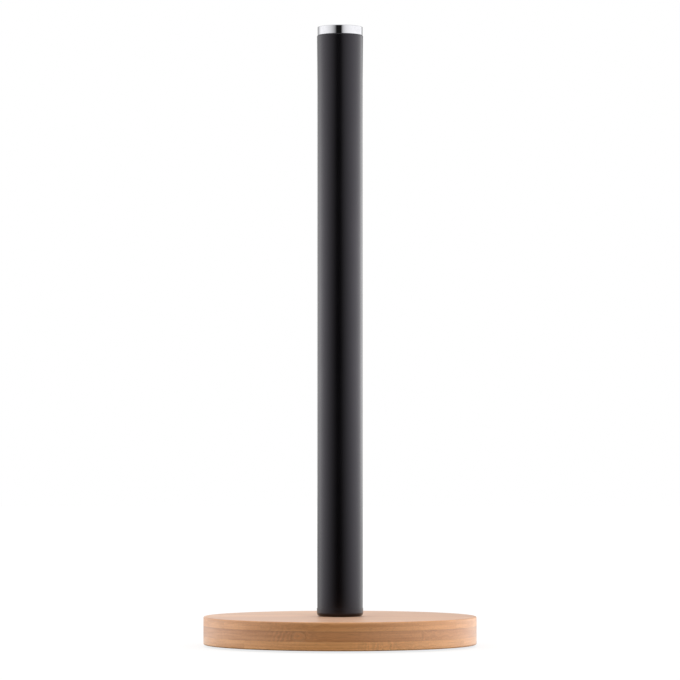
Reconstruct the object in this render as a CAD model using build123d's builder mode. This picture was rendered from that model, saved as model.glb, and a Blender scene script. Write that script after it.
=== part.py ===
from build123d import *

import os

# Paper towel holder: a round three-ply bamboo base and a coated steel post, held together by one screw
# from below. The origin is at the centre of the base, on the surface it stands on, with +Z up the post.
# Lengths are in millimetres and angles in degrees.

# Overall sizes
overall_height = 329.9
base_diameter = 145.0
post_diameter = 24.2

# Base board: three plies glued face to face
bottom_ply_thickness = 4.6
core_ply_thickness = 5.5
top_ply_thickness = 4.7
base_edge_round = 0.7

# Fixing hole through the board, with a counterbore from below for the screw's head and washers
screw_clearance_diameter = 6.6
counterbore_diameter = 20.0
counterbore_depth = 7.5

# Post tube: the wall includes the coating, which thickens a little towards the top rim
tube_wall = 1.1
tube_rim_diameter = 24.6
tube_flare_height = 24.0
tube_rim_round = 0.4

# Foot plug: a flange that the tube stands on, and a spigot up its bore
foot_flange_diameter = 24.6
foot_flange_height = 4.4
foot_lower_round = 1.9
foot_upper_round = 0.15
foot_spigot_height = 16.0
foot_spigot_chamfer = 0.8
thread_depth = 17.5

# Top cap: a polished head and a hollow ribbed spigot that grips the tube's bore
cap_diameter = 24.0
cap_height = 4.7
cap_top_round = 0.3
cap_lower_bevel = 0.15
cap_spigot_diameter = 21.4
cap_spigot_wall = 1.5
cap_spigot_length = 10.0
cap_rib_radius = 0.8
cap_rib_count = 12

# M6 button head screw and its washers
screw_diameter = 6.0
screw_length = 25.0
screw_tip_chamfer = 0.7
screw_head_diameter = 10.5
screw_head_height = 3.3
screw_head_round = 2.4
socket_across_flats = 4.0
socket_depth = 2.1
flat_washer_diameter = 18.0
flat_washer_bore = 6.4
flat_washer_thickness = 1.6
spring_washer_diameter = 11.8
spring_washer_bore = 6.2
spring_washer_thickness = 1.6
spring_washer_slit = 0.8

# Stick-on pads under the base
pad_diameter = 12.0
pad_thickness = 1.0
pad_edge_round = 0.3
pad_circle_radius = 50.0
pad_count = 4
pad_first_angle = 45.0

# Levels, from the surface up
board_bottom = pad_thickness
core_bottom = board_bottom + bottom_ply_thickness
top_ply_bottom = core_bottom + core_ply_thickness
board_top = top_ply_bottom + top_ply_thickness
washer_seat = board_bottom + counterbore_depth
spring_washer_top = washer_seat - flat_washer_thickness
screw_head_top = spring_washer_top - spring_washer_thickness
tube_bottom = board_top + foot_flange_height
tube_top = overall_height - cap_height
flare_bottom = tube_top - tube_flare_height

# Sizes that follow from others
tube_bore_diameter = post_diameter - 2 * tube_wall
core_counterbore_depth = washer_seat - core_bottom

os.makedirs("parts", exist_ok=True)

# Bottom ply: eased round its lower edge, and cut right through by the counterbore
with BuildPart() as base_bottom_ply:
    with BuildSketch(Plane.XY.offset(board_bottom)):
        Circle(base_diameter / 2)
    extrude(amount=bottom_ply_thickness)
    fillet(base_bottom_ply.edges().sort_by(Axis.Z)[0], base_edge_round)
    Hole(counterbore_diameter / 2)
base_bottom_ply.part.label = "base_bottom_ply"
export_step(base_bottom_ply.part, "parts/base_bottom_ply.step")

# Core ply: the counterbore ends in it, on the ledge that the flat washer bears on
with BuildPart() as base_core_ply:
    with BuildSketch(Plane.XY.offset(core_bottom)):
        Circle(base_diameter / 2)
    extrude(amount=core_ply_thickness)
    with Locations(base_core_ply.faces().sort_by(Axis.Z)[0]):
        CounterBoreHole(screw_clearance_diameter / 2, counterbore_diameter / 2, core_counterbore_depth)
base_core_ply.part.label = "base_core_ply"
export_step(base_core_ply.part, "parts/base_core_ply.step")

# Top ply: eased round its upper edge
with BuildPart() as base_top_ply:
    with BuildSketch(Plane.XY.offset(top_ply_bottom)):
        Circle(base_diameter / 2)
    extrude(amount=top_ply_thickness)
    fillet(base_top_ply.edges().sort_by(Axis.Z)[-1], base_edge_round)
    Hole(screw_clearance_diameter / 2)
base_top_ply.part.label = "base_top_ply"
export_step(base_top_ply.part, "parts/base_top_ply.step")

# Foot plug: stands on the board, with a blind threaded hole drawn at the thread's outer diameter
with BuildPart() as foot_plug:
    with BuildSketch(Plane.XY.offset(board_top)):
        Circle(foot_flange_diameter / 2)
    extrude(amount=foot_flange_height)
    fillet(foot_plug.edges().sort_by(Axis.Z)[0], foot_lower_round)
    fillet(foot_plug.edges().sort_by(Axis.Z)[-1], foot_upper_round)
    with BuildSketch(Plane.XY.offset(tube_bottom)):
        Circle(tube_bore_diameter / 2)
    extrude(amount=foot_spigot_height)
    chamfer(foot_plug.edges().sort_by(Axis.Z)[-1], foot_spigot_chamfer)
    with Locations(foot_plug.faces().sort_by(Axis.Z)[0]):
        Hole(screw_diameter / 2, depth=thread_depth)
foot_plug.part.label = "foot_plug"
export_step(foot_plug.part, "parts/foot_plug.step")

# Post tube: straight in the bore, flaring slightly outside near the top, and rounded at its outer top rim
with BuildPart() as post_tube:
    with BuildSketch(Plane.XZ):
        with BuildLine():
            Polyline(
                (tube_bore_diameter / 2, tube_bottom),
                (post_diameter / 2, tube_bottom),
                (post_diameter / 2, flare_bottom),
                (tube_rim_diameter / 2, tube_top),
                (tube_bore_diameter / 2, tube_top),
                close=True,
            )
        make_face()
    revolve(axis=Axis.Z)
    tube_top_edges = post_tube.edges().filter_by(GeomType.CIRCLE).group_by(Axis.Z)[-1]
    fillet(tube_top_edges.sort_by(SortBy.RADIUS)[-1], tube_rim_round)
post_tube.part.label = "post_tube"
export_step(post_tube.part, "parts/post_tube.step")

# Top cap: the head rests on the tube's rim, and the spigot's ribs touch its bore
with BuildPart() as top_cap:
    with BuildSketch(Plane.XY.offset(tube_top)):
        Circle(cap_diameter / 2)
    extrude(amount=cap_height)
    fillet(top_cap.edges().sort_by(Axis.Z)[-1], cap_top_round)
    chamfer(top_cap.edges().sort_by(Axis.Z)[0], cap_lower_bevel)
    with BuildSketch(Plane.XY.offset(tube_top)):
        Circle(cap_spigot_diameter / 2)
        with PolarLocations(tube_bore_diameter / 2 - cap_rib_radius, cap_rib_count):
            Circle(cap_rib_radius)
        Circle(cap_spigot_diameter / 2 - cap_spigot_wall, mode=Mode.SUBTRACT)
    extrude(amount=-cap_spigot_length)
top_cap.part.label = "top_cap"
export_step(top_cap.part, "parts/top_cap.step")

# Fixing screw: a domed head with a hexagon socket, and a shank drawn at the thread's outer diameter
with BuildPart() as fixing_screw:
    with BuildSketch(Plane.XY.offset(screw_head_top)):
        Circle(screw_head_diameter / 2)
    extrude(amount=-screw_head_height)
    fillet(fixing_screw.edges().sort_by(Axis.Z)[0], screw_head_round)
    with BuildSketch(Plane.XY.offset(screw_head_top - screw_head_height)):
        RegularPolygon(socket_across_flats / 2, side_count=6, major_radius=False)
    extrude(amount=socket_depth, mode=Mode.SUBTRACT)
    with BuildSketch(Plane.XY.offset(screw_head_top)):
        Circle(screw_diameter / 2)
    extrude(amount=screw_length)
    chamfer(fixing_screw.edges().sort_by(Axis.Z)[-1], screw_tip_chamfer)
fixing_screw.part.label = "fixing_screw"
export_step(fixing_screw.part, "parts/fixing_screw.step")

# Spring washer: a split ring, drawn flat as the tightened screw holds it
with BuildPart() as spring_washer:
    with BuildSketch(Plane.XY.offset(screw_head_top)):
        Circle(spring_washer_diameter / 2)
        Circle(spring_washer_bore / 2, mode=Mode.SUBTRACT)
        with Locations((spring_washer_diameter / 2, 0)):
            Rectangle(spring_washer_diameter, spring_washer_slit, mode=Mode.SUBTRACT)
    extrude(amount=spring_washer_thickness)
spring_washer.part.label = "spring_washer"
export_step(spring_washer.part, "parts/spring_washer.step")

# Flat washer: spreads the screw's load on the core ply's ledge
with BuildPart() as flat_washer:
    with BuildSketch(Plane.XY.offset(spring_washer_top)):
        Circle(flat_washer_diameter / 2)
        Circle(flat_washer_bore / 2, mode=Mode.SUBTRACT)
    extrude(amount=flat_washer_thickness)
flat_washer.part.label = "flat_washer"
export_step(flat_washer.part, "parts/flat_washer.step")

# Foot pads: evenly spaced under the board, each rounded at its lower edge
for number in range(pad_count):
    pad_angle = pad_first_angle + number * 360 / pad_count
    with BuildPart() as foot_pad:
        with BuildSketch(Plane.XY):
            with PolarLocations(pad_circle_radius, 1, start_angle=pad_angle):
                Circle(pad_diameter / 2)
        extrude(amount=pad_thickness)
        fillet(foot_pad.edges().sort_by(Axis.Z)[0], pad_edge_round)
    pad_name = f"foot_pad_{number + 1}"
    foot_pad.part.label = pad_name
    export_step(foot_pad.part, f"parts/{pad_name}.step")
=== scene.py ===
import math

import bpy
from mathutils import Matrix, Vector


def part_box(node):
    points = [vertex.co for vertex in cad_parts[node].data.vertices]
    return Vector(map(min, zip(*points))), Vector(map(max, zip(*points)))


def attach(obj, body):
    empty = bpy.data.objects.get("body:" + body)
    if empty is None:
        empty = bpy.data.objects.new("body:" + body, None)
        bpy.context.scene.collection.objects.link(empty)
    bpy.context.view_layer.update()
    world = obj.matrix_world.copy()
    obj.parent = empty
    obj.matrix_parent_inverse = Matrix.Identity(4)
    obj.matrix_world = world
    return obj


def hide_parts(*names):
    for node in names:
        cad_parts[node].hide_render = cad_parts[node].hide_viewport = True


# A paper towel holder: a three-ply bamboo base, a black coated post and a chrome cap. Lengths are in metres,
# apart from those of the material patterns, which are in millimetres.

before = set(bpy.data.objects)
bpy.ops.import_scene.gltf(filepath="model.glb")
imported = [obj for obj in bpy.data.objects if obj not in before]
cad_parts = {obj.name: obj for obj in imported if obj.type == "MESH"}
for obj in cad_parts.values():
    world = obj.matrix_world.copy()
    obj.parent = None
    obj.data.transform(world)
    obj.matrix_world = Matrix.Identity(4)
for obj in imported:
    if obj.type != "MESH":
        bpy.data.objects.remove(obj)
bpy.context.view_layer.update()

MM = 0.001

# Camera: in front of the holder, low, a long lens tilted slightly up
CAMERA_DISTANCE = 1.9005
CAMERA_HEIGHT = 0.0972
CAMERA_TILT = math.radians(1.972)
CAMERA_LENS = 189.0
SENSOR_WIDTH = 36.0

# Studio: a white tent with a dark opening at the camera, wide near the floor and narrow above. The light
# comes up on each side of the opening, and is dimmer behind: from further forward in steep directions, and
# on the right more above than near the floor. Directions are angles round from the camera, and heights are
# the z of a direction. A low pair is where the light starts and is full. A high pair is where it starts and
# how slowly it grows.
LOW_LEFT = (math.radians(10.0), math.radians(115.0))
LOW_RIGHT = (math.radians(-2.0), math.radians(95.0))
LOW_LEFT_LIGHT = 3.05
LOW_RIGHT_LIGHT = 3.15
HIGH_LEFT = (math.radians(18.0), math.radians(25.0))
HIGH_RIGHT = (math.radians(6.6), math.radians(11.0))
HIGH_LEFT_LIGHT = 1.62
HIGH_RIGHT_LIGHT = 1.55
LEFT_BEHIND = (math.radians(113.0), math.radians(150.0))
RIGHT_BEHIND = (math.radians(139.0), math.radians(160.0))
LEFT_BEHIND_DIM = 0.63
LOW_RIGHT_BEHIND_DIM = 0.70
HIGH_RIGHT_BEHIND_DIM = 0.92
OPENING_LIGHT = 0.012
LOW_TO_HIGH = (math.sin(math.radians(5.5)), math.sin(math.radians(6.8)))
HIGH_TO_STEEP = (math.sin(math.radians(10.0)), math.sin(math.radians(25.0)))
STEEP_FORWARD = math.radians(30.0)
OVERHEAD = (0.18, 0.50)
OVERHEAD_LIGHT = 1.18

# Floor: the holder shades it out to one radius, and it is clear of that shade from the other
FLOOR_SIZE = 12.0
FLOOR_BOUNCE = 0.50
FLOOR_SHADE_RADIUS = 0.066
FLOOR_CLEAR_RADIUS = 0.095
FLOOR_DIFFUSE = 0.2
FLOOR_GLOW = 0.8

# Lathe resolution, and the narrow flat ring that keeps shading flat beside each rounding
SEGMENTS = 384
ROUND_STEPS = 8
GUARD_RING = 0.15 * MM
SHARP_ANGLE = math.radians(35.0)

# Board: the plies' glued edges, sharp in the CAD, are eased by a hair
GLUE_EASE = 0.05 * MM
BASE_EDGE_ROUND = 0.7 * MM
SCREW_HOLE_RADIUS = 3.3 * MM
COUNTERBORE_RADIUS = 10.0 * MM

# Post
TUBE_WALL = 1.1 * MM
TUBE_FLARE = 0.2 * MM
TUBE_FLARE_HEIGHT = 24.0 * MM
TUBE_RIM_ROUND = 0.4 * MM
FOOT_LOWER_ROUND = 1.9 * MM
FOOT_UPPER_ROUND = 0.15 * MM
FOOT_SPIGOT_ROUND = 0.8 * MM
THREAD_RADIUS = 3.0 * MM
THREAD_DEPTH = 17.5 * MM

# Cap
CAP_HEIGHT = 4.7 * MM
CAP_TOP_ROUND = 0.3 * MM
CAP_LOWER_BEVEL = 0.15 * MM
SPIGOT_RADIUS = 10.7 * MM
SPIGOT_WALL = 1.5 * MM

# Pads
PAD_COUNT = 4

# Patterns, in millimetres. A grain is how fast a pattern changes along X, Y and Z. A step is the stretch of
# a pattern's values over which something changes, and tones are the brightnesses at its two ends.
NOISE_STEP = (0.3, 0.7)

# Bamboo strips, side by side along Y. The front one holds the point this far in from the board's front, and
# each strip's fibres are offset by up to the length given. The seam's step is in strips, from the middle of
# one.
STRIP_WIDTH = 20.0
HALF_STRIP = 0.5
FRONT_STRIP_INSET = 1.0
STRIP_OFFSET = 40.0
SEAM_STEP = (0.494, 0.498)

# Knuckles: how far from the middle of their strip they can be, and the faint band and mottle over them
KNUCKLE_REACH = 130.0
KNUCKLE_BAND_HALF_LENGTH = 2.2
KNUCKLE_BAND_CHANGE = -0.05
MOTTLE_HALF_LENGTH = 16.0
MOTTLE_GRAIN = (0.45, 0.45, 1.0)
MOTTLE_CHANGES = (-0.08, 0.02)

# Marks of a knuckle on a cut side, each placed along the strip from the knuckle
MARK_CONTRAST = 0.18
MARKS_ELSEWHERE = 0.35
DRIFT_GRAIN = (0.4, 0.4, 1.0)
DRIFT_ALONG = 1.8
DRIFT_UP = 1.4
HATCH_PLACE = -9.7
HATCH_HALF_LENGTH = 4.8
HATCH_LEAN = 0.42
HATCH_FREQUENCY = 2.8
EYE_RADIUS = 3.2
EYE_STRETCH = 1.4
RING_FREQUENCY = 2.5
TICKS_PLACE = -9.0
TICKS_HALF_LENGTH = 12.0
TICK_GRAIN = (1.0, 0.1, 0.22)
TICK_STEP = (0.42, 0.68)
TICK_STRENGTHS = (-0.5, 1.2)

# Fibres: how their level waves, bends and wanders, and the patterns that they make
WAVES_PLACE = 11.0
WAVES_HALF_LENGTH = 11.0
WAVE_FREQUENCY_X = 0.55
WAVE_FREQUENCY_Y = 0.4
WAVE_HEIGHT = 0.45
EYE_BEND = 1.5
WANDER_FREQUENCY = 0.02
WANDER_HEIGHT = 1.5
LAYER_GRAIN = (0.010, 0.07, 1.0)
LAYER_STEP = (0.32, 0.68)
FIBRE_GRAIN = (0.025, 1.3, 2.6)
FIBRE_STEP = (0.25, 0.75)
FIBRE_TONES = (0.93, 1.07)
BUNDLE_GRAIN = (0.012, 1.0, 1.0)
BUNDLE_STEP = (0.10, 0.30)
BUNDLE_TONES = (1.0, 0.93)
DASH_GRAIN = (0.09, 2.6, 2.2)
DASH_STEP = (0.54, 0.70)
DASH_TONES = (1.015, 0.87)

# Each ply: its tones from bottom to top, and the glue's darkening, between two depths below the top
HEIGHT_TONES = (1.03, 0.97)
GLUE_STARTS = 1.1
GLUE_FULL = 0.15
GLUE_CHANGE = -0.10

# Colours, and the pairs of colours and of roughnesses that a pattern varies between
BAMBOO_DARK = (0.602, 0.259, 0.087)
BAMBOO_LIGHT = (0.722, 0.339, 0.129)
BAMBOO_ROUGHNESS = (0.42, 0.32)
COATING_COLORS = ((0.0012, 0.0010, 0.0013, 1), (0.0026, 0.0022, 0.0027, 1))
COATING_REFLECTION_TINT = (0.93, 0.88, 1.0, 1.0)
COATING_ROUGHNESS = (0.21, 0.24)
CHROME_COLORS = ((0.54, 0.54, 0.565, 1), (0.565, 0.565, 0.585, 1))
CHROME_ROUGHNESS = (0.05, 0.08)
ZINC_COLORS = ((0.42, 0.44, 0.46, 1), (0.62, 0.63, 0.62, 1))
ZINC_ROUGHNESS = (0.25, 0.38)
RUBBER_COLORS = ((0.012, 0.012, 0.012, 1), (0.035, 0.035, 0.035, 1))


# ---------------------------------------------------------------- node helpers
def new_node(tree, kind, inputs=None, **settings):
    node = tree.nodes.new(kind)
    for name, value in settings.items():
        setattr(node, name, value)
    for name, value in (inputs or {}).items():
        plug(tree, node.inputs[name], value)
    return node


def plug(tree, socket, value):
    if isinstance(value, bpy.types.NodeSocket):
        tree.links.new(value, socket)
    else:
        socket.default_value = value


def calc(tree, operation, *values):
    node = tree.nodes.new("ShaderNodeMath")
    node.operation = operation
    for socket, value in zip(node.inputs, values):
        plug(tree, socket, value)
    return node.outputs[0]


def product(tree, *values):
    total = values[0]
    for value in values[1:]:
        total = calc(tree, "MULTIPLY", total, value)
    return total


def scaled(tree, value, low, high):
    """A 0 to 1 value as a factor from low to high."""
    return calc(tree, "MULTIPLY_ADD", value, high - low, low)


def changed(tree, strength, change):
    """A brightness of 1, with the change added in proportion to the strength."""
    return calc(tree, "MULTIPLY_ADD", strength, change, 1.0)


def bell(tree, value, half_width):
    """1 where value is 0, falling away to 0 past the half width on either side."""
    share = calc(tree, "ABSOLUTE", calc(tree, "DIVIDE", value, half_width))
    cubed = calc(tree, "POWER", share, 3.0)
    return calc(tree, "EXPONENT", calc(tree, "MULTIPLY", cubed, -1.0))


def smooth_step(tree, value, low, high, low_to=0.0, high_to=1.0):
    inputs = {"Value": value, "From Min": low, "From Max": high, "To Min": low_to, "To Max": high_to}
    return new_node(tree, "ShaderNodeMapRange", inputs, interpolation_type="SMOOTHSTEP").outputs[0]


def combine(tree, x, y, z):
    return new_node(tree, "ShaderNodeCombineXYZ", {"X": x, "Y": y, "Z": z}).outputs[0]


def split(tree, vector):
    return new_node(tree, "ShaderNodeSeparateXYZ", {"Vector": vector}).outputs[:3]


def stretched(tree, point, grain):
    """A point of three values, each multiplied by the grain's value for its axis."""
    return combine(tree, *(calc(tree, "MULTIPLY", value, factor) for value, factor in zip(point, grain)))


def noise(tree, vector, scale, detail, roughness=0.5):
    inputs = {"Vector": vector, "Scale": scale, "Detail": detail, "Roughness": roughness}
    return new_node(tree, "ShaderNodeTexNoise", inputs).outputs[0]


def mix_color(tree, share, first, second):
    """A mix of two colours. Its sockets go by number, because those of the node's other types share names."""
    return new_node(tree, "ShaderNodeMix", {0: share, 6: first, 7: second}, data_type="RGBA").outputs[2]


def bump(tree, shader, height, strength, distance):
    inputs = {"Strength": strength, "Distance": distance, "Height": height}
    plug(tree, shader.inputs["Normal"], new_node(tree, "ShaderNodeBump", inputs).outputs[0])


def millimetres(tree):
    """The point in the frame, in millimetres."""
    where = new_node(tree, "ShaderNodeTexCoord").outputs["Object"]
    return new_node(tree, "ShaderNodeVectorMath", {0: where, "Scale": 1 / MM}, operation="SCALE").outputs[0]


def new_material(name, **shader_values):
    """A material whose shader has the values given, with _ for each space in a socket's name."""
    material = bpy.data.materials.new(name)
    material.use_nodes = True
    tree = material.node_tree
    shader = tree.nodes["Principled BSDF"]
    for socket, value in shader_values.items():
        shader.inputs[socket.replace("_", " ")].default_value = value
    return material, tree, shader


# ---------------------------------------------------------------- CAD sizes
def levels(node):
    low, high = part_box(node)
    return low.z, high.z


def radius(node):
    low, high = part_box(node)
    return max(high.x, high.y, -low.x, -low.y)


# ---------------------------------------------------------------- bamboo
def strip_layout(tree, y, node, seed, shift):
    """The strips of a ply, side by side along Y.

    Gives the place across them in strips, a strip's number and random value, and 1 on the board's front
    strip.
    """
    place = calc(tree, "DIVIDE", calc(tree, "ADD", y, shift), STRIP_WIDTH)
    number = calc(tree, "FLOOR", place)
    inputs = {"W": calc(tree, "ADD", number, seed)}
    random = new_node(tree, "ShaderNodeTexWhiteNoise", inputs, noise_dimensions="1D").outputs["Value"]
    front_number = math.floor((shift - radius(node) / MM + FRONT_STRIP_INSET) / STRIP_WIDTH)
    in_front = calc(tree, "COMPARE", number, front_number, HALF_STRIP)
    return place, number, random, in_front


def drifting_place(tree, point, away, knuckle_z):
    """The place along from a knuckle and up from it, wandering a little, so that its marks aren't ruled."""
    inputs = {"Vector": stretched(tree, point, DRIFT_GRAIN), "Scale": 0.8, "Detail": 1.0}
    drift = split(tree, new_node(tree, "ShaderNodeTexNoise", inputs).outputs["Color"])
    least_along = calc(tree, "SUBTRACT", away, DRIFT_ALONG / 2)
    least_up = calc(tree, "SUBTRACT", point[2], knuckle_z + DRIFT_UP / 2)
    along = calc(tree, "MULTIPLY_ADD", drift[0], DRIFT_ALONG, least_along)
    up = calc(tree, "MULTIPLY_ADD", drift[1], DRIFT_UP, least_up)
    return along, up


def hatch(tree, along, up):
    """Slanting strokes on one side of the knuckle."""
    slanted = calc(tree, "MULTIPLY_ADD", up, -HATCH_LEAN, along)
    strokes = calc(tree, "SINE", calc(tree, "MULTIPLY", slanted, HATCH_FREQUENCY))
    return product(tree, strokes, bell(tree, calc(tree, "SUBTRACT", along, HATCH_PLACE), HATCH_HALF_LENGTH))


def eye(tree, along, up):
    """The distance from the middle of the knuckle's eye, and how strongly the eye shows there."""
    narrowed = calc(tree, "POWER", calc(tree, "DIVIDE", along, EYE_STRETCH), 2.0)
    distance = calc(tree, "SQRT", calc(tree, "MULTIPLY_ADD", up, up, narrowed))
    return distance, bell(tree, distance, EYE_RADIUS)


def ticks(tree, along, up, y, away):
    """Upright ticks round the knuckle."""
    pattern = noise(tree, stretched(tree, (along, y, up), TICK_GRAIN), scale=0.95, detail=2.0)
    spread = bell(tree, calc(tree, "SUBTRACT", away, TICKS_PLACE), TICKS_HALF_LENGTH)
    return product(tree, smooth_step(tree, pattern, *TICK_STEP, *TICK_STRENGTHS), spread)


def fibre_level(tree, point, away, eye_distance, eye_strength, number, seed):
    """The height of the fibre at a point, before it bends round the eye, waves beyond it and wanders."""
    x, y, z = point
    phase = calc(tree, "MULTIPLY_ADD", y, WAVE_FREQUENCY_Y, calc(tree, "MULTIPLY", x, WAVE_FREQUENCY_X))
    wavy = bell(tree, calc(tree, "SUBTRACT", away, WAVES_PLACE), WAVES_HALF_LENGTH)
    waves = product(tree, calc(tree, "SINE", phase), wavy)
    level = calc(tree, "MULTIPLY_ADD", waves, WAVE_HEIGHT, z)
    bent = calc(tree, "SUBTRACT", calc(tree, "MULTIPLY", eye_distance, EYE_BEND), level)
    level = calc(tree, "MULTIPLY_ADD", eye_strength, bent, level)
    line = combine(tree, calc(tree, "MULTIPLY", x, WANDER_FREQUENCY), number, seed)
    return calc(tree, "MULTIPLY_ADD", noise(tree, line, scale=1.0, detail=1.0), WANDER_HEIGHT, level)


def bamboo(name, node, tone, seed, strip_shift, strip_contrast, knuckle, marks, glue_line):
    """Laminated bamboo for one ply: strips along X, each with a knuckle somewhere along it.

    The tone is the ply's red, green and blue against the bamboo's own. The seed picks its strips, the shift
    moves them along Y, and the contrast is how much they differ. The knuckle given is the one on the strip at
    the front of the board, as its x and z. The marks are how strongly the slanting hatch, the eye and the
    upright ticks of the ply's knuckles show, from 0 to 1. A glue line darkens the ply towards its top.
    """
    material, tree, shader = new_material(name, IOR=1.6, Sheen_Weight=0.23, Sheen_Roughness=0.45)
    low, high = (level / MM for level in levels(node))
    point = split(tree, millimetres(tree))
    x, y, z = point

    # strips, each with its own knuckle
    place, number, random, in_front = strip_layout(tree, y, node, seed, strip_shift)
    elsewhere = scaled(tree, random, -KNUCKLE_REACH, KNUCKLE_REACH)
    to_front_knuckle = calc(tree, "SUBTRACT", knuckle[0], elsewhere)
    knuckle_x = calc(tree, "MULTIPLY_ADD", in_front, to_front_knuckle, elsewhere)
    away = calc(tree, "SUBTRACT", x, knuckle_x)

    # marks that the knuckles leave on a cut side, fainter on the strips behind the front one
    along, up = drifting_place(tree, point, away, knuckle[1])
    eye_distance, eye_shape = eye(tree, along, up)
    rings = calc(tree, "COSINE", calc(tree, "MULTIPLY_ADD", eye_distance, RING_FREQUENCY, math.pi))
    hatch_drawn = product(tree, hatch(tree, along, up), marks[0])
    eye_drawn = product(tree, rings, eye_shape, marks[1])
    ticks_drawn = product(tree, ticks(tree, along, up, y, away), marks[2])
    drawn = calc(tree, "ADD", hatch_drawn, calc(tree, "ADD", eye_drawn, ticks_drawn))
    drawn = product(tree, drawn, scaled(tree, in_front, MARKS_ELSEWHERE, 1.0))

    # fibre patterns: layers through the strip's thickness, fine fibres, darker bundles and dark dashes
    eye_strength = product(tree, eye_shape, marks[1])
    level = fibre_level(tree, point, away, eye_distance, eye_strength, number, seed)
    side = calc(tree, "MULTIPLY_ADD", random, STRIP_OFFSET, y)
    fibre_point = (x, side, level)
    layers = noise(tree, stretched(tree, fibre_point, LAYER_GRAIN), scale=0.75, detail=2.0)
    fibres = noise(tree, stretched(tree, fibre_point, FIBRE_GRAIN), scale=1.0, detail=4.0, roughness=0.6)
    cell_inputs = {"Vector": stretched(tree, fibre_point, BUNDLE_GRAIN), "Scale": 1.15}
    cells = new_node(tree, "ShaderNodeTexVoronoi", cell_inputs).outputs["Distance"]
    bundle = smooth_step(tree, cells, *BUNDLE_STEP, 1.0, 0.0)
    dashes = noise(tree, stretched(tree, fibre_point, DASH_GRAIN), scale=1.0, detail=2.0)

    # colour
    dark = [channel * factor for channel, factor in zip(BAMBOO_DARK, tone)] + [1.0]
    light = [channel * factor for channel, factor in zip(BAMBOO_LIGHT, tone)] + [1.0]
    color = mix_color(tree, smooth_step(tree, layers, *LAYER_STEP), dark, light)

    # brightness: the patterns, the ply's height, the mottle and marks, and dark lines between neighbouring
    # strips, where the plies are glued, and across a strip at its knuckle
    patches = noise(tree, stretched(tree, point, MOTTLE_GRAIN), scale=0.9, detail=1.0)
    mottle = smooth_step(tree, patches, *NOISE_STEP, *MOTTLE_CHANGES)
    from_middle = calc(tree, "ABSOLUTE", calc(tree, "SUBTRACT", calc(tree, "FRACT", place), HALF_STRIP))
    seam = smooth_step(tree, from_middle, *SEAM_STEP)
    glue = smooth_step(tree, z, high - GLUE_STARTS, high - GLUE_FULL) if glue_line else 0.0
    behind = calc(tree, "SUBTRACT", 1.0, in_front)
    knuckle_band = product(tree, bell(tree, along, KNUCKLE_BAND_HALF_LENGTH), behind)
    brightness = product(
        tree,
        scaled(tree, smooth_step(tree, fibres, *FIBRE_STEP), *FIBRE_TONES),
        scaled(tree, bundle, *BUNDLE_TONES),
        scaled(tree, smooth_step(tree, dashes, *DASH_STEP), *DASH_TONES),
        scaled(tree, random, 1.0 - strip_contrast, 1.0 + strip_contrast),
        scaled(tree, smooth_step(tree, z, low, high), *HEIGHT_TONES),
        changed(tree, bell(tree, away, MOTTLE_HALF_LENGTH), mottle),
        changed(tree, drawn, MARK_CONTRAST),
        scaled(tree, seam, 1.0, 1.0 - 2 * strip_contrast),
        changed(tree, glue, GLUE_CHANGE),
        changed(tree, knuckle_band, KNUCKLE_BAND_CHANGE),
    )
    shade = new_node(tree, "ShaderNodeVectorMath", {0: color, "Scale": brightness}, operation="SCALE")
    plug(tree, shader.inputs["Base Color"], shade.outputs[0])

    # satin lacquer over the open grain
    plug(tree, shader.inputs["Roughness"], scaled(tree, fibres, *BAMBOO_ROUGHNESS))
    bump(tree, shader, fibres, strength=0.2, distance=0.04 * MM)
    return material


# ---------------------------------------------------------------- other materials
def black_coating():
    material, tree, shader = new_material("black_coating", IOR=1.44, Specular_Tint=COATING_REFLECTION_TINT)
    point = millimetres(tree)
    grain = noise(tree, point, scale=2.2, detail=3.0)
    blotch = noise(tree, point, scale=0.05, detail=2.0)
    plug(tree, shader.inputs["Base Color"], mix_color(tree, grain, *COATING_COLORS))
    plug(tree, shader.inputs["Roughness"], smooth_step(tree, blotch, *NOISE_STEP, *COATING_ROUGHNESS))
    bump(tree, shader, grain, strength=0.06, distance=0.02 * MM)
    return material


def bare_metal(name, colors, roughness, scale, detail):
    """A metal whose colour and roughness follow one noise."""
    material, tree, shader = new_material(name, Metallic=1.0)
    pattern = noise(tree, millimetres(tree), scale, detail)
    plug(tree, shader.inputs["Base Color"], mix_color(tree, pattern, *colors))
    plug(tree, shader.inputs["Roughness"], smooth_step(tree, pattern, *NOISE_STEP, *roughness))
    return material


def chrome():
    return bare_metal("chrome", CHROME_COLORS, CHROME_ROUGHNESS, scale=0.6, detail=3.0)


def zinc_steel():
    return bare_metal("zinc_steel", ZINC_COLORS, ZINC_ROUGHNESS, scale=1.4, detail=4.0)


def pad_rubber():
    material, tree, shader = new_material("pad_rubber", Roughness=0.85)
    inputs = {"Vector": millimetres(tree), "Scale": 3.0}
    cells = new_node(tree, "ShaderNodeTexVoronoi", inputs).outputs["Distance"]
    plug(tree, shader.inputs["Base Color"], mix_color(tree, cells, *RUBBER_COLORS))
    bump(tree, shader, cells, strength=0.5, distance=0.05 * MM)
    return material


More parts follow.
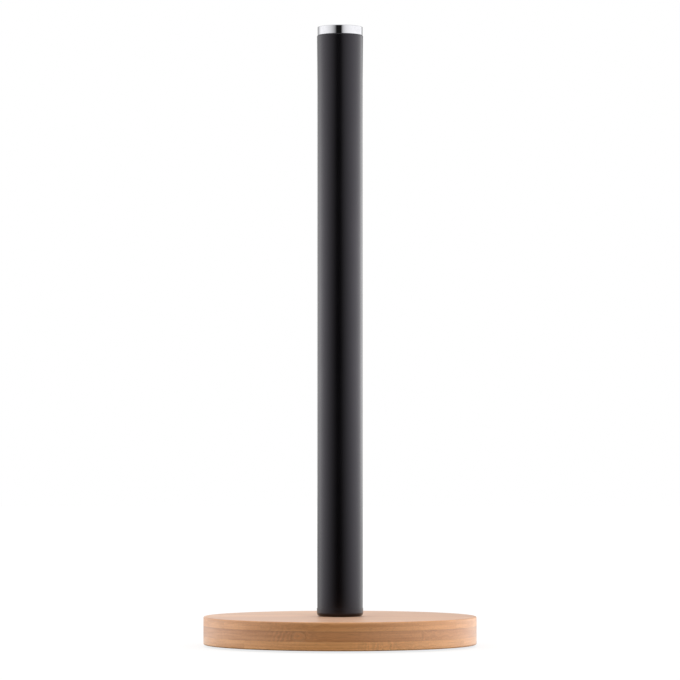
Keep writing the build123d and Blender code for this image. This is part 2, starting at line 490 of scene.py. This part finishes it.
# ---------------------------------------------------------------- meshes
def rounded_outline(corners):
    """Closed outline of (radius, height, rounding) corners, each rounded by an arc between guard points."""
    points = []
    count = len(corners)
    for i, (across, height, rounding) in enumerate(corners):
        here = Vector((across, height))
        if rounding <= 0:
            points.append(here)
            continue
        before = (Vector(corners[i - 1][:2]) - here).normalized()
        after = (Vector(corners[(i + 1) % count][:2]) - here).normalized()
        half = before.angle(after) / 2
        reach = rounding / math.tan(half)
        centre = here + (before + after).normalized() * (rounding / math.sin(half))
        first = here + before * reach - centre
        last = here + after * reach - centre
        turn = first.angle_signed(last)
        points.append(here + before * (reach + GUARD_RING))
        for step in range(ROUND_STEPS + 1):
            angle = -turn * step / ROUND_STEPS
            points.append(centre + Vector((first.x * math.cos(angle) - first.y * math.sin(angle),
                                           first.x * math.sin(angle) + first.y * math.cos(angle))))
        points.append(here + after * (reach + GUARD_RING))
    return points


def lathe(name, corners, material, node):
    """A solid turned about Z from a closed outline, standing for a CAD node.

    An outline point on the axis is one vertex.
    """
    vertices = []
    rows = []
    for point in rounded_outline(corners):
        if point.x == 0:
            rows.append([len(vertices)] * SEGMENTS)
            vertices.append((0, 0, point.y))
            continue
        rows.append(range(len(vertices), len(vertices) + SEGMENTS))
        for step in range(SEGMENTS):
            angle = 2 * math.pi * step / SEGMENTS
            vertices.append((point.x * math.cos(angle), point.x * math.sin(angle), point.y))
    faces = []
    for i, row in enumerate(rows):
        following = rows[(i + 1) % len(rows)]
        for step in range(SEGMENTS):
            after = (step + 1) % SEGMENTS
            face = (row[step], row[after], following[after], following[step])
            distinct = list(dict.fromkeys(face))
            if len(distinct) > 2:
                faces.append(distinct)
    mesh = bpy.data.meshes.new(name)
    mesh.from_pydata(vertices, [], faces)
    mesh.shade_smooth()
    mesh.set_sharp_from_angle(angle=SHARP_ANGLE)
    mesh.materials.append(material)
    piece = bpy.data.objects.new(name, mesh)
    bpy.context.scene.collection.objects.link(piece)
    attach(piece, "root")
    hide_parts(node)
    return piece


def ply(name, node, hole, lower_round, upper_round, material):
    low, high = levels(node)
    outer = radius(node)
    corners = [(hole, low, 0), (outer, low, lower_round), (outer, high, upper_round), (hole, high, 0)]
    return lathe(name, corners, material, node)


def tube_radius():
    """The tube's outer radius, below the slight flare at its top."""
    return radius("post_tube") - TUBE_FLARE


def tube(material):
    low, high = levels("post_tube")
    outer = tube_radius()
    bore = outer - TUBE_WALL
    corners = [(bore, low, 0), (outer, low, 0), (outer, high - TUBE_FLARE_HEIGHT, 0),
               (outer + TUBE_FLARE, high, TUBE_RIM_ROUND), (bore, high, 0)]
    return lathe("black_tube", corners, material, "post_tube")


def foot(material):
    low, high = levels("foot_plug")
    flange_top = levels("post_tube")[0]
    flange = radius("foot_plug")
    bore = tube_radius() - TUBE_WALL
    thread_end = low + THREAD_DEPTH
    corners = [(THREAD_RADIUS, low, 0), (flange, low, FOOT_LOWER_ROUND),
               (flange, flange_top, FOOT_UPPER_ROUND), (bore, flange_top, 0), (bore, high, FOOT_SPIGOT_ROUND),
               (0, high, 0), (0, thread_end, 0), (THREAD_RADIUS, thread_end, 0)]
    return lathe("black_foot", corners, material, "foot_plug")


def cap(material):
    """The cap's head and its hollow spigot, which is plain here, where the CAD solid has small ribs."""
    low, high = levels("top_cap")
    seat = high - CAP_HEIGHT
    outer = radius("top_cap")
    hollow = SPIGOT_RADIUS - SPIGOT_WALL
    corners = [(0, seat, 0), (hollow, seat, 0), (hollow, low, 0), (SPIGOT_RADIUS, low, 0),
               (SPIGOT_RADIUS, seat, 0), (outer - CAP_LOWER_BEVEL, seat, 0),
               (outer, seat + CAP_LOWER_BEVEL, 0), (outer, high, CAP_TOP_ROUND), (0, high, 0)]
    return lathe("chrome_cap", corners, material, "top_cap")


def dress(node, material):
    """The CAD's own mesh of a node, in a material made here."""
    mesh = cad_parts[node].data
    mesh.materials.clear()
    mesh.materials.append(material)


# ---------------------------------------------------------------- the holder
ply_top = bamboo(
    "bamboo_top",
    "base_top_ply",
    tone=(1.0, 1.0, 1.0),
    seed=3.0,
    strip_shift=0.0,
    strip_contrast=0.05,
    knuckle=(-23.0, 13.5),
    marks=(0.0, 0.0, 0.15),
    glue_line=False,
)
ply_core = bamboo(
    "bamboo_core",
    "base_core_ply",
    tone=(0.88, 0.86, 0.90),
    seed=11.0,
    strip_shift=-1.0,
    strip_contrast=0.015,
    knuckle=(-21.3, 8.6),
    marks=(0.6, 1.0, 0.0),
    glue_line=True,
)
ply_bottom = bamboo(
    "bamboo_bottom",
    "base_bottom_ply",
    tone=(1.14, 1.17, 1.16),
    seed=23.0,
    strip_shift=-7.0,
    strip_contrast=0.015,
    knuckle=(29.0, 3.0),
    marks=(0.0, 0.0, 0.65),
    glue_line=False,
)
black = black_coating()
polished = chrome()
zinc = zinc_steel()
rubber = pad_rubber()

ply("board_top_ply", "base_top_ply", SCREW_HOLE_RADIUS, GLUE_EASE, BASE_EDGE_ROUND, ply_top)
ply("board_core_ply", "base_core_ply", SCREW_HOLE_RADIUS, GLUE_EASE, GLUE_EASE, ply_core)
ply("board_bottom_ply", "base_bottom_ply", COUNTERBORE_RADIUS, BASE_EDGE_ROUND, GLUE_EASE, ply_bottom)
tube(black)
foot(black)
cap(polished)

for part in ("fixing_screw", "flat_washer", "spring_washer"):
    dress(part, zinc)
for pad_number in range(1, PAD_COUNT + 1):
    dress(f"foot_pad_{pad_number}", rubber)


# ---------------------------------------------------------------- studio
def tent(tree, x, y, z):
    """The tent's light from a direction, by its angle round from the camera and its height."""
    rightward = calc(tree, "ARCTAN2", x, calc(tree, "MULTIPLY", y, -1.0))
    leftward = calc(tree, "MULTIPLY", rightward, -1.0)

    def high(angle, edge, falloff, light):
        past = calc(tree, "MAXIMUM", calc(tree, "SUBTRACT", angle, edge), 0.0)
        fade = calc(tree, "EXPONENT", calc(tree, "DIVIDE", past, -falloff))
        return calc(tree, "MULTIPLY", calc(tree, "SUBTRACT", 1.0, fade), light)

    above_left = high(leftward, *HIGH_LEFT, HIGH_LEFT_LIGHT)
    above_right = high(rightward, *HIGH_RIGHT, HIGH_RIGHT_LIGHT)
    above = calc(tree, "MAXIMUM", above_left, above_right)
    below_left = smooth_step(tree, leftward, *LOW_LEFT, 0.0, LOW_LEFT_LIGHT)
    below_right = smooth_step(tree, rightward, *LOW_RIGHT, 0.0, LOW_RIGHT_LIGHT)
    below = calc(tree, "MAXIMUM", below_left, below_right)
    share = smooth_step(tree, z, *LOW_TO_HIGH)
    light = calc(tree, "MULTIPLY_ADD", share, calc(tree, "SUBTRACT", above, below), below)
    forward = smooth_step(tree, z, *HIGH_TO_STEEP, 0.0, STEEP_FORWARD)
    left_dim = smooth_step(tree, calc(tree, "ADD", leftward, forward), *LEFT_BEHIND, 0.0, LEFT_BEHIND_DIM)
    right_behind = smooth_step(tree, calc(tree, "ADD", rightward, forward), *RIGHT_BEHIND)
    right_dim = product(tree, right_behind, scaled(tree, share, LOW_RIGHT_BEHIND_DIM, HIGH_RIGHT_BEHIND_DIM))
    shown = calc(tree, "SUBTRACT", 1.0, calc(tree, "MAXIMUM", left_dim, right_dim))
    return calc(tree, "MULTIPLY_ADD", light, shown, OPENING_LIGHT)


def make_floor():
    """White to the camera, with the object's soft shadow.

    To other rays it gives back the tent's light, except close to the holder, which shades it.
    """
    mesh = bpy.data.meshes.new("floor")
    half = FLOOR_SIZE / 2
    corners = [(-half, -half, 0), (half, -half, 0), (half, half, 0), (-half, half, 0)]
    mesh.from_pydata(corners, [], [(0, 1, 2, 3)])
    material = bpy.data.materials.new("floor_white")
    material.use_nodes = True
    tree = material.node_tree
    tree.nodes.clear()
    x, y, _ = split(tree, new_node(tree, "ShaderNodeNewGeometry").outputs["Position"])
    distance = calc(tree, "SQRT", calc(tree, "MULTIPLY_ADD", x, x, calc(tree, "MULTIPLY", y, y)))
    clear = smooth_step(tree, distance, FLOOR_SHADE_RADIUS, FLOOR_CLEAR_RADIUS, 0.0, FLOOR_BOUNCE)
    given_back = calc(tree, "MULTIPLY", tent(tree, x, y, 0.0), clear)
    bounce = new_node(tree, "ShaderNodeEmission", {"Strength": given_back})
    grey = (FLOOR_DIFFUSE, FLOOR_DIFFUSE, FLOOR_DIFFUSE, 1)
    shown = new_node(tree, "ShaderNodeBsdfDiffuse", {"Color": grey})
    glow = new_node(tree, "ShaderNodeEmission", {"Strength": FLOOR_GLOW})
    lit = new_node(tree, "ShaderNodeAddShader", {0: shown.outputs[0], 1: glow.outputs[0]})
    seen = new_node(tree, "ShaderNodeLightPath").outputs["Is Camera Ray"]
    both = new_node(tree, "ShaderNodeMixShader", {0: seen, 1: bounce.outputs[0], 2: lit.outputs[0]})
    new_node(tree, "ShaderNodeOutputMaterial", {"Surface": both.outputs[0]})
    mesh.materials.append(material)
    floor = bpy.data.objects.new("floor", mesh)
    bpy.context.scene.collection.objects.link(floor)


def make_world():
    """White to the camera. To other rays it is the tent, with one even light overhead."""
    world = bpy.data.worlds.new("studio")
    bpy.context.scene.world = world
    world.use_nodes = True
    tree = world.node_tree
    background = tree.nodes["Background"]
    x, y, z = split(tree, new_node(tree, "ShaderNodeTexCoord").outputs["Generated"])
    around = tent(tree, x, y, z)
    overhead = smooth_step(tree, z, *OVERHEAD)
    level = calc(tree, "MULTIPLY_ADD", overhead, calc(tree, "SUBTRACT", OVERHEAD_LIGHT, around), around)
    seen = new_node(tree, "ShaderNodeLightPath").outputs["Is Camera Ray"]
    shown = new_node(tree, "ShaderNodeMix", {0: seen, 2: level, 3: 1.0}, data_type="FLOAT")
    background.inputs["Color"].default_value = (1, 1, 1, 1)
    plug(tree, background.inputs["Strength"], shown.outputs[0])


def make_camera():
    data = bpy.data.cameras.new("camera")
    data.lens = CAMERA_LENS
    data.sensor_width = SENSOR_WIDTH
    camera = bpy.data.objects.new("camera", data)
    camera.location = (0, -CAMERA_DISTANCE, CAMERA_HEIGHT)
    camera.rotation_euler = (math.pi / 2 + CAMERA_TILT, 0, 0)
    bpy.context.scene.collection.objects.link(camera)
    bpy.context.scene.camera = camera


make_floor()
make_world()
make_camera()
bpy.context.scene.view_settings.view_transform = "Standard"

bpy.context.view_layer.update()
